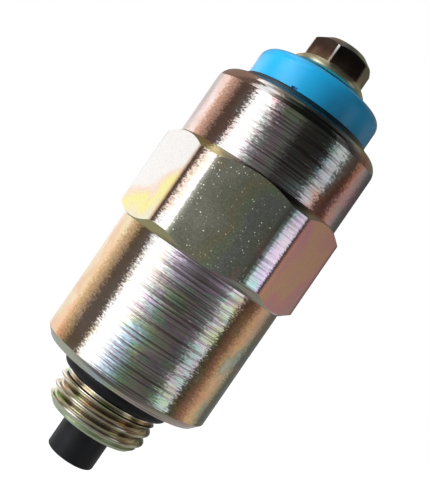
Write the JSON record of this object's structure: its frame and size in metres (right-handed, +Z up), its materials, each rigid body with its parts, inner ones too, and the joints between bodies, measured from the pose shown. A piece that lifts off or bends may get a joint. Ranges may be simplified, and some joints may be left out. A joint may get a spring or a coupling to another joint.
{
  "type": "fuel shutoff solenoid",
  "caption": "Cylindrical screw-in fuel shutoff solenoid: zinc-plated case with hex collar, threaded nose, sprung plunger, plastic cap and screw terminal.",
  "frame": {"origin": "centre of the sealing shoulder (the case's lower end face) on the thread axis", "axes": "+Z up the axis towards the supply terminal, so the threaded nose and plunger point to -Z; one flat of the hex collar faces -Y"},
  "size_m": [0.0262, 0.024, 0.0631],
  "materials": {
    "plated_steel": "turned, yellow iridescent chromate on zinc",
    "terminal_steel": "yellow chromate on zinc",
    "nose_rubber": "matte black",
    "tip_rubber": "matte black",
    "blue_plastic": "satin blue moulding",
    "armature_steel": "ground",
    "core_steel": "turned",
    "spring_steel": "drawn wire",
    "brass": "turned",
    "copper_wire": "enamelled copper",
    "bobbin_plastic": "moulded black",
    "winding_tape": "polyester tape",
    "fibre": "laminate",
    "lead_insulation": "varnished sleeving",
    "solder": "soft solder"
  },
  "bodies": {
    "housing": {"case": "plated_steel", "nose_ring": "nose_rubber", "return_spring": "spring_steel", "pole_shim": "brass", "pole_piece": "core_steel", "guide_sleeve": "brass", "sleeve_ring": "nose_rubber", "coil_bobbin": "bobbin_plastic", "coil_winding": "copper_wire", "winding_tape": "winding_tape", "flux_plate": "core_steel", "insulating_cup": "fibre", "disc_spring": "spring_steel", "terminal_cap": "blue_plastic", "cap_ring": "nose_rubber", "terminal_insert": "brass", "contact_tag": "brass", "live_lead": "copper_wire", "lead_sleeve": "lead_insulation", "earth_lead": "copper_wire", "solder_joint": "solder", "lock_washer": "terminal_steel", "terminal_screw": "terminal_steel"},
    "plunger": {"armature": "armature_steel", "valve_tip": "tip_rubber"}
  },
  "joints": [
    {"name": "plunger_slide", "type": "slide", "parent": "housing", "child": "plunger", "axis": [0, 0, 1], "range_m": [0, 0.002], "stiffness_N_per_m": 1100, "springref_m": -0.003, "deforming": ["return_spring"]}
  ]
}
